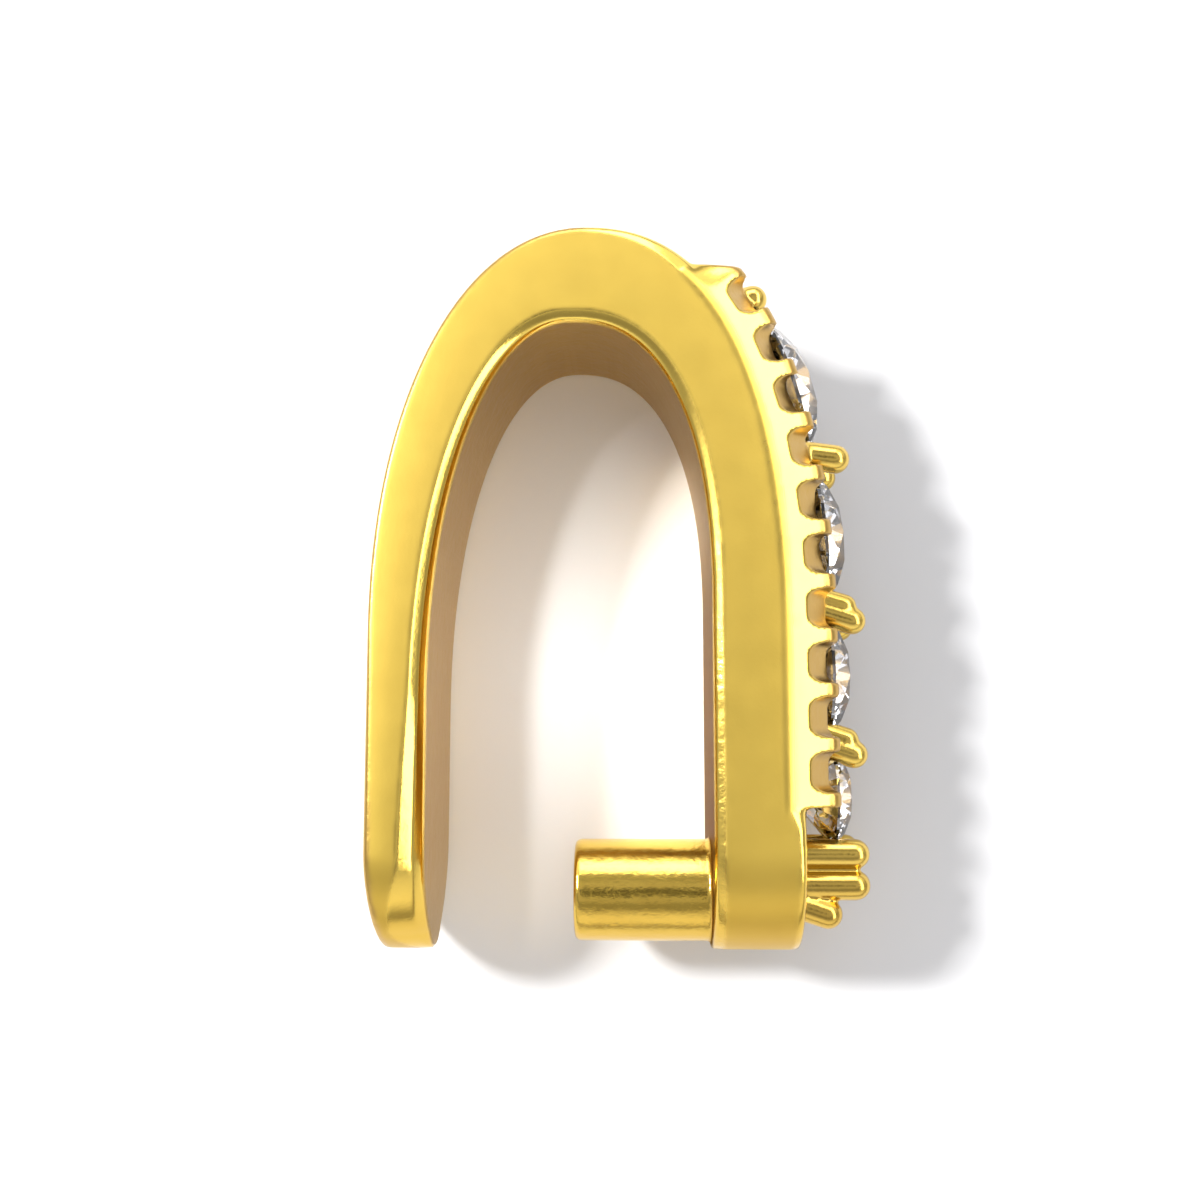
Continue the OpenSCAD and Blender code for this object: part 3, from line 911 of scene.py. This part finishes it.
def band_ring(layout, pair):
    """The closed ring of the band at a pair of outer and inner points, with their edges and domed sides."""
    outer, inner, outer_profile, inner_profile = pair
    unit = (inner - outer) / np.linalg.norm(inner - outer)
    ring = []
    for side in (1, -1):
        edges = []
        for point, direction, profile in (
            (outer, unit, outer_profile),
            (inner, -unit, inner_profile),
        ):
            half = layout.half_width(point[1])
            arc = []
            for into, down in profile * min(1.0, layout.LEAST_REACH * half / profile[-1, 0]):
                flat = point + direction * into
                arc.append((flat[0], flat[1], half - layout.bow.crown - down))
            edges.append(arc)
        start, stop = np.array(edges[0][-1]), np.array(edges[1][-1])
        top = []
        for part in np.linspace(0.0, 1.0, SIDE_STEPS + 1)[1:-1]:
            point = start + (stop - start) * part
            point[2] += layout.bow.crown * math.sin(math.pi * part)
            top.append(tuple(point))
        line = edges[0] + top + edges[1][::-1]
        placed = [(x, y, layout.end_r + side * max(z, 0.0)) for x, y, z in line]
        ring += placed if side == 1 else placed[::-1]
    return ring


def band_finish(layout, count):
    """Finish of each face of the band: satin sides, bright bevels, a polished outside, a cast inside, with
    painted shade on the front arm's inside.
    """
    front_rings = count // 2
    arm_rings = layout.END_STEPS + layout.ARM_STEPS
    half = 2 * EDGE_STEPS + SIDE_STEPS - 1
    bevel = EDGE_STEPS + SIDE_STEPS - 1

    def finish_at(i, j):
        """Finish of the face after ring i at segment j. A ring's second half mirrors the first."""
        # The front arm's inner wall gets painted shade
        if j == half - 1:
            return PAINTED_SHADE if i < front_rings else CAST
        if j == 2 * half - 1:
            return POLISHED
        j = j if j < half else 2 * half - 2 - j
        if j < EDGE_STEPS - 1:
            return POLISHED if i < front_rings else CAST
        if j < bevel:
            return SATIN
        return TUMBLED if j == bevel and i < arm_rings else POLISHED

    return finish_at


def rim_section(rims):
    """Section of one rim as [height above the wall, depth from the side face, finish to the next]."""
    high, thick, lean = rims.tooth_height, rims.thickness, rims.lean
    shoulder, crest = 0.65 * high, 0.66 * thick
    inner_high, inner_depth = 0.95 * high, 0.82 * thick
    turn = np.linspace(math.radians(10), math.radians(90), 7)
    rise, depth = high - shoulder, crest - lean
    tip = [(shoulder + rise * math.sin(a), lean + depth * (1 - math.cos(a)), CAST) for a in turn]
    satin_share = 0.4 * rims.bevel / (rims.bevel + shoulder)
    return [
        (-rims.bevel, 0.0, SATIN),
        (blend(-rims.bevel, shoulder, satin_share), lean * satin_share, POLISHED),
        (shoulder, lean, CAST),
        *tip,
        (inner_high, inner_depth, CAST),
        (rims.bed_height, thick, CAST),
    ]


def rim_rise(layout, run):
    """Height of the rims as a share: a fillet at their lower end and a smooth run out into the bow."""
    rims = layout.rims
    least = 0.02
    if run < layout.rim_start():
        short = (layout.rim_start() - run) / rims.fillet
        return max(least, rims.fillet / rims.tooth_height * (1 - math.sqrt(max(0.0, 1 - (1 - short) ** 2))))
    return min(1.0, max(least, (layout.rim_end() - run) / rims.run_out))


def rim_ring(layout, run):
    """The closed ring of bed and both rims at a run along the wall."""
    sunk = 0.3
    rise = rim_rise(layout, run)
    near = [(h * rise if h > 0 else h, layout.width - inset) for h, inset, _ in rim_section(layout.rims)]
    far = [(h, layout.width - z) for h, z in near[::-1]]
    hidden = 0.03
    base = [(-sunk, hidden), (-sunk, layout.width - hidden)]
    place = layout.wall_frame(run)
    return [tuple(place @ Vector((h, 0.0, z))) for h, z in near + far + base]


def rim_finish(layout):
    """Finish of each face of the rims, which is the same along them."""
    one = [finish for _, _, finish in rim_section(layout.rims)]
    row = one + one[-2::-1] + [POLISHED, CAST, POLISHED]
    return lambda _, j: row[j]


def notch_cutter(layout):
    """A U-shaped cutter for one notch of the far rim, whose floor rises inwards."""
    rims = layout.rims
    half, r = rims.notch_width / 2, rims.notch_corner
    over, past, shoulder_share = 0.2, 0.12, 0.55
    reach = (rims.thickness + past) / math.cos(rims.notch_slope)
    turn = np.linspace(0.0, math.pi / 2, 12)
    tip, shoulder = rims.tip_corner, shoulder_share * rims.tooth_height - rims.tip_corner
    side = [(r - r * math.cos(a), half - r + r * math.sin(a)) for a in turn]
    side += [(shoulder + tip * math.sin(a), half + tip - tip * math.cos(a)) for a in turn]
    side.append((2 * rims.tooth_height, side[-1][1]))
    outline = side[::-1] + [(x, -y) for x, y in side]
    rings = [[(x, y, z) for x, y in outline] for z in (-over, reach)]
    made = ring_skin("notch_cutter", rings)
    made.data.transform(Matrix.Rotation(rims.notch_slope, 4, "Y"))
    return made


def prong_points(layout):
    """Every prong post as [run, place across the band, width, height, lean]."""
    prongs, stones = layout.prongs, layout.stones
    runs, widths = layout.stone_runs(), layout.diameters
    below = [run - (d + stones.gap) / 2 for run, d in zip(runs, widths)]
    posts = []

    def stand(run, diameter, width, height, lean=prongs.lean):
        """One post at each rim, beside stones of that diameter."""
        offset = prongs.corner_share * diameter
        for side in (-1, 1):
            posts.append((run, layout.end_r + side * offset, width, height, lean))

    stand(runs[-1] + (widths[-1] + stones.gap) / 2, widths[-1], prongs.single, prongs.top_height)
    stand(below[-1], (widths[-1] + widths[-2]) / 2, prongs.single, prongs.height)
    for i in range(1, len(runs) - 1):
        middle = (widths[i] + widths[i - 1]) / 2
        stand(below[i] - prongs.double_step / 2, middle, prongs.lower_post, prongs.height)
        stand(below[i] + prongs.double_step / 2, middle, prongs.upper_post, prongs.upper_height)
    stand(below[0], widths[0], prongs.single, prongs.height, 0.0)
    stand(below[0] - prongs.end_step, widths[0], prongs.single, prongs.height, 0.0)
    stand(below[0] - 2 * prongs.end_step, widths[0], prongs.single, prongs.tip_height)
    return posts


def seat_cutters(layout):
    """Room for the stones: each one's outline with its clearance, open above the table."""
    stones = layout.stones
    gap, table = stones.clearance, stones.table_rise
    above = 1.0
    open_to = table + above
    cutters = []
    for run, d in zip(layout.stone_runs(), layout.diameters):
        girdle_top = table - stones.crown_share * d
        girdle_low = girdle_top - stones.girdle_share * d
        culet = girdle_low - stones.pavilion_share * d
        narrow = stones.table_share * d / 2 + gap
        profile = [
            (0.0, culet - 1.5 * gap),
            (d / 2 + gap, girdle_low - gap),
            (d / 2 + gap, girdle_top + gap),
            (narrow, table + gap),
            (narrow, open_to),
            (0.0, open_to),
        ]
        made = turned("seat_cutter", profile)
        made.data.transform(layout.wall_frame(run) @ Matrix.Translation((0.0, 0.0, layout.end_r)))
        cutters.append(made)
    return join("seats", cutters)


class BAIL_OT_wax_band(bpy.types.Operator):
    """Models the wax of the plain band"""

    bl_idname = "bail.wax_band"
    bl_label = "Wax band"

    def execute(self, context):
        layout = Layout(context.scene.bail)
        rings = [band_ring(layout, pair) for pair in layout.band_pairs()]
        band = ring_skin("wax_band", rings, band_finish(layout, len(rings)))
        cut(band, seat_cutters(layout))
        return {"FINISHED"}


class BAIL_OT_wax_rims(bpy.types.Operator):
    """Models the wax of the bed and the two rims, and cuts their notches and the stones' seats"""

    bl_idname = "bail.wax_rims"
    bl_label = "Wax rims"

    def execute(self, context):
        layout = Layout(context.scene.bail)
        start = layout.rim_start()
        fillet_steps, rim_steps = 10, 140
        parts = np.linspace(1.0, 0.0, fillet_steps, endpoint=False)
        runs = [start - layout.rims.fillet * part for part in parts]
        runs += list(np.linspace(start, layout.rim_end(), rim_steps))
        rims = ring_skin("wax_rims", [rim_ring(layout, run) for run in runs], rim_finish(layout))
        notches = notch_cutter(layout)
        values = {
            "First notch": layout.rims.first + layout.rims.pitch / 2,
            "Pitch": layout.rims.pitch,
            "Count": layout.rims.teeth - 1,
            "Band width": layout.width,
        }
        lay_row(notches, layout, notch_row_tree(), values)
        cut(rims, notches)
        cut(rims, seat_cutters(layout))
        return {"FINISHED"}


class BAIL_OT_wax_prongs(bpy.types.Operator):
    """Models the waxes of all prongs, and cuts the stones' seats into them"""

    bl_idname = "bail.wax_prongs"
    bl_label = "Wax prongs"

    def execute(self, context):
        layout = Layout(context.scene.bail)
        posts = prong_points(layout)
        mesh = bpy.data.meshes.new("wax_prongs")
        mesh.from_pydata([(0.0, 0.0, 0.0)] * len(posts), [], [])
        for i, label in enumerate(("run", "across", "width", "rise", "lean")):
            attribute = mesh.attributes.new(label, "FLOAT", "POINT")
            attribute.data.foreach_set("value", [post[i] for post in posts])
        prongs = new_object("wax_prongs", mesh)
        values = {"Root": layout.prongs.root, "Pivot": layout.prongs.pivot, "Sides": layout.prongs.sides}
        lay_row(prongs, layout, prong_row_tree(), values)
        finish = prongs.data.attributes.new("finish", "INT", "FACE")
        finish.data.foreach_set("value", [BEADED] * len(prongs.data.polygons))
        cut(prongs, seat_cutters(layout))
        return {"FINISHED"}


class BAIL_OT_wax_peg(bpy.types.Operator):
    """Models the wax of the peg with its rounded free end"""

    bl_idname = "bail.wax_peg"
    bl_label = "Wax peg"

    def execute(self, context):
        layout = Layout(context.scene.bail)
        peg = layout.peg
        r, edge = peg.diameter / 2, peg.edge
        root = layout.bow.front_thickness / 2
        start, end = layout.gap[1] + root, layout.gap[1] - peg.length
        turn = np.linspace(0.0, math.pi / 2, 9)
        arc = [(r - edge + edge * math.cos(a), end + edge - edge * math.sin(a)) for a in turn]
        made = turned("wax_peg", [(0.0, start), (r, start), *arc, (0.0, end)], peg.sides, TUMBLED)
        made.data.transform(Matrix.Translation((0.0, peg.axis, layout.end_r)))
        return {"FINISHED"}


def largest_piece(mesh):
    """Keeps only the largest connected piece of a mesh."""
    work = bmesh.new()
    work.from_mesh(mesh)
    work.verts.ensure_lookup_table()
    label = [-1] * len(work.verts)
    sizes = []
    for seed in work.verts:
        if label[seed.index] >= 0:
            continue
        label[seed.index] = len(sizes)
        heap, size = [seed], 0
        while heap:
            vertex = heap.pop()
            size += 1
            for edge in vertex.link_edges:
                other = edge.other_vert(vertex)
                if label[other.index] < 0:
                    label[other.index] = len(sizes)
                    heap.append(other)
        sizes.append(size)
    keep = sizes.index(max(sizes))
    extra = [v for v in work.verts if label[v.index] != keep]
    bmesh.ops.delete(work, geom=extra, context="VERTS")
    work.to_mesh(mesh)
    work.free()


def wax_surface(waxes):
    """The waxes' faces for looking up the nearest one, and the finish of each."""
    points, faces, finishes = [], [], []
    for wax in waxes:
        start = len(points)
        points += [v.co.copy() for v in wax.data.vertices]
        faces += [[start + i for i in polygon.vertices] for polygon in wax.data.polygons]
        finishes += [item.value for item in wax.data.attributes["finish"].data]
    return BVHTree.FromPolygons(points, faces), np.array(finishes)


def spread(values, edges, passes):
    """Evens out values at points with those of their neighbours."""
    count = len(values)
    ends = np.concatenate([edges, edges[:, ::-1]])
    near = np.bincount(ends[:, 0], minlength=count)
    for _ in range(passes):
        total = np.bincount(ends[:, 0], weights=values[ends[:, 1]], minlength=count)
        values = (values + total) / (1 + near)
    return values


def mark_finish(mesh, surface, finishes):
    """Writes at each point of the casting how much each mark counts there."""
    nearest = [surface.find_nearest(v.co)[2] for v in mesh.vertices]
    found = finishes[nearest]
    edges = np.zeros(len(mesh.edges) * 2, np.int64)
    mesh.edges.foreach_get("vertices", edges)
    for name, (passes, amounts) in MARKS.items():
        marked = sum(amount * (found == finish) for finish, amount in amounts.items())
        values = spread(marked.astype(float), edges.reshape(-1, 2), passes)
        # The painted shade fades out upwards
        if name == "shaded":
            heights = np.array([v.co.y for v in mesh.vertices])
            values *= 1 - smooth_step(*SHADE_FADE, heights)
        attribute = mesh.attributes.new(name, "FLOAT", "POINT")
        attribute.data.foreach_set("value", values.astype(np.float32))


class BAIL_OT_cast_frame(bpy.types.Operator):
    """Fuses the waxes into one casting, tumbles it and plates it"""

    bl_idname = "bail.cast_frame"
    bl_label = "Cast and plate"

    def execute(self, context):
        finish = context.scene.bail.finish
        waxes = [bpy.data.objects[name] for name in WAXES]
        surface, finishes = wax_surface(waxes)
        casting = join("bail_casting", waxes)
        fuse = casting.modifiers.new("Fuse", "REMESH")
        fuse.mode = "VOXEL"
        fuse.voxel_size = finish.grain / MM
        soften = casting.modifiers.new("Tumble", "SMOOTH")
        soften.factor = 0.5
        soften.iterations = finish.softening
        settle(casting)
        triangles = sum(len(p.vertices) - 2 for p in casting.data.polygons)
        if triangles > finish.triangles:
            thin = casting.modifiers.new("Thin", "DECIMATE")
            thin.ratio = finish.triangles / triangles
            settle(casting)
        mesh = casting.data
        largest_piece(mesh)
        mark_finish(mesh, surface, finishes)
        mesh.shade_smooth()
        mesh.materials.clear()
        mesh.materials.append(plated_gold(finish))
        shift = Matrix.Translation((cad_box[0].x, cad_box[0].y, cad_box[0].z))
        mesh.transform(shift @ Matrix.Scale(MM, 4))
        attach(casting, "root")
        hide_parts("bail_frame")
        return {"FINISHED"}


class BAIL_OT_set_stones(bpy.types.Operator):
    """Gives the stones their clear material"""

    bl_idname = "bail.set_stones"
    bl_label = "Set stones"

    def execute(self, context):
        material = clear_stone(context.scene.bail.finish)
        for name in STONES:
            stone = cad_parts[name]
            stone.data.materials.clear()
            stone.data.materials.append(material)
        return {"FINISHED"}


# The key light, which casts the shadows, and the soft fill that only the paper takes, as
# [place, width and height, radiance]
KEY_LIGHT = ((-0.068, 0.027, 0.068), (0.013, 0.013), 198.0)
FILL_LIGHT = ((0.06, 0.0, 0.12), (0.15, 0.15), 0.34)
# Cards as [azimuth, elevation, width and height, radiance], and how far they stand away
CARDS = ((12.0, 47.0, (0.140, 0.034), 4.3), (90.0, 34.0, (0.060, 0.045), 3.7))
CARD_REACH = 0.1
# Paper lights as [aim on the paper, place, power], and the beam that they share
PAPER_LIGHTS = (((-0.6, -0.9), (-11.6, 5.7, 22.0), 0.0165), ((-0.9, -0.9), (2.0, -0.9, 22.0), 0.0040))
PAPER_BEAM = {"spot_size": math.radians(11.6), "spot_blend": 0.7, "shadow_soft_size": 0.0017}
# Levels of the room by height, with the dark camera straight above, as [share, level]
ROOM = ((0.2, 0.42), (0.4, 0.30), (0.75, 0.26), (0.88, 0.32), (0.95, 0.62), (0.975, 0.70), (0.99, 0.06))
# Where the room's bright walls stand by height, and their levels from the tips' side to the bow's
WALLS = ((0.1, 0.0), (0.3, 1.0), (0.6, 1.0), (0.82, 0.0))
SIDES = ((0.0, 1.05), (0.5, 0.0), (1.0, 1.25))


def new_light(name, kind, place, aim, **settings):
    """A light at a place in metres that looks at its aim."""
    data = bpy.data.lights.new(name, kind)
    for key, value in settings.items():
        setattr(data, key, value)
    made = new_object(name, data)
    made.location = place
    made.rotation_euler = (Vector(aim) - made.location).to_track_quat("-Z", "Y").to_euler()
    return made


def area_light(name, place, size, radiance):
    """A soft light that looks at the piece, with its power worked out from how bright it looks."""
    wide, tall = size
    energy = radiance * math.pi * wide * tall
    settings = {"shape": "RECTANGLE", "size": wide, "size_y": tall, "energy": energy}
    return new_light(name, "AREA", place, (0.0, 0.0, 0.0), **settings)


def card(azimuth, elevation, size, radiance):
    """A bright card that only the metal and the stones mirror, at a direction in degrees."""
    turn, up = math.radians(azimuth), math.radians(elevation)
    direction = Vector((math.cos(up) * math.cos(turn), math.cos(up) * math.sin(turn), math.sin(up)))
    made = area_light("card", CARD_REACH * direction, size, radiance)
    made.visible_diffuse = False


def paper_light(aim, place, power):
    """A narrow light for the paper inside the bow alone, with its places in millimetres."""
    target = Vector((*aim, 0.0)) * MM
    made = new_light("paper_light", "SPOT", Vector(place) * MM, target, energy=power, **PAPER_BEAM)
    made.visible_glossy = False


def level_ramp(tree, factor, stops):
    """A level that changes with the factor, as a socket, through stops of [factor, level]."""
    made = add_node(tree, "ShaderNodeValToRGB", {0: factor})
    elements = made.color_ramp.elements
    while len(elements) < len(stops):
        elements.new(0.5)
    for element, (position, level) in zip(elements, stops):
        element.position = position
        element.color = (level, level, level, 1.0)
    return made.outputs[0]


def new_room():
    """The room that the metal mirrors, a world whose level changes with the direction."""
    world = bpy.data.worlds.new("studio")
    world.use_nodes = True
    tree = world.node_tree
    direction = tree.nodes.new("ShaderNodeTexCoord").outputs["Generated"]
    parts = add_node(tree, "ShaderNodeSeparateXYZ", {0: direction})
    overall = level_ramp(tree, parts.outputs[2], ROOM)
    walls = level_ramp(tree, parts.outputs[2], WALLS)
    sides = level_ramp(tree, math_node(tree, "MULTIPLY_ADD", parts.outputs[1], 0.5, 0.5), SIDES)
    level = math_node(tree, "ADD", overall, math_node(tree, "MULTIPLY", walls, sides))
    background = tree.nodes["Background"]
    tree.links.new(level, background.inputs["Strength"])
    background.inputs["Color"].default_value = (1.0, 1.0, 1.02, 1.0)
    return world


def new_camera(stage):
    """The camera, which looks down at the piece."""
    data = bpy.data.cameras.new("camera")
    data.lens = stage.lens
    data.sensor_width = 36.0
    data.clip_start = 0.0005
    data.clip_end = 10.0
    made = new_object("camera", data)
    made.location = stage.camera
    made.rotation_euler = stage.tilt
    return made


class BAIL_OT_stage(bpy.types.Operator):
    """Lays the paper, sets the lights and the camera"""

    bl_idname = "bail.stage"
    bl_label = "Stage"

    def execute(self, context):
        scene = context.scene
        stage = scene.bail.stage
        half = stage.floor_side / 2
        corners = [(-half, -half, 0.0), (half, -half, 0.0), (half, half, 0.0), (-half, half, 0.0)]
        floor = mesh_object("floor", corners, [[0, 1, 2, 3]])
        floor.data.materials.append(paper(stage.paper))
        floor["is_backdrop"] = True
        scene.camera = new_camera(stage)
        scene.world = new_room()
        scene.view_settings.view_transform = "Standard"
        area_light("key_light", *KEY_LIGHT)
        for light in PAPER_LIGHTS:
            paper_light(*light)
        for light in CARDS:
            card(*light)
        fill = area_light("fill_light", *FILL_LIGHT)
        fill.visible_glossy = False
        return {"FINISHED"}


OPERATORS = (
    BAIL_OT_wax_band,
    BAIL_OT_wax_rims,
    BAIL_OT_wax_prongs,
    BAIL_OT_wax_peg,
    BAIL_OT_cast_frame,
    BAIL_OT_set_stones,
    BAIL_OT_stage,
)


class BAIL_PT_panel(bpy.types.Panel):
    """Lists the steps that make the bail"""

    bl_idname = "BAIL_PT_panel"
    bl_label = "Pinch bail"
    bl_space_type = "VIEW_3D"
    bl_region_type = "UI"
    bl_category = "Bail"

    def draw(self, context):
        for operator in OPERATORS:
            self.layout.operator(operator.bl_idname)


GROUPS = (
    BowSizes,
    RimSizes,
    StoneSizes,
    ProngSizes,
    PegSizes,
    CastingFinish,
    StageSettings,
    BailSettings,
)


def register():
    for part in (*GROUPS, *OPERATORS, BAIL_PT_panel):
        bpy.utils.register_class(part)
    bpy.types.Scene.bail = PointerProperty(type=BailSettings)


def unregister():
    del bpy.types.Scene.bail
    for part in (BAIL_PT_panel, *OPERATORS[::-1], *GROUPS[::-1]):
        bpy.utils.unregister_class(part)


def main():
    register()
    bpy.ops.bail.wax_band()
    bpy.ops.bail.wax_rims()
    bpy.ops.bail.wax_prongs()
    bpy.ops.bail.wax_peg()
    bpy.ops.bail.cast_frame()
    bpy.ops.bail.set_stones()
    bpy.ops.bail.stage()
    boxes = {"cad": cad_box, "visual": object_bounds()}
    {name: [list(corner) for corner in box] for name, box in boxes.items()}


if __name__ == "__main__":
    main()
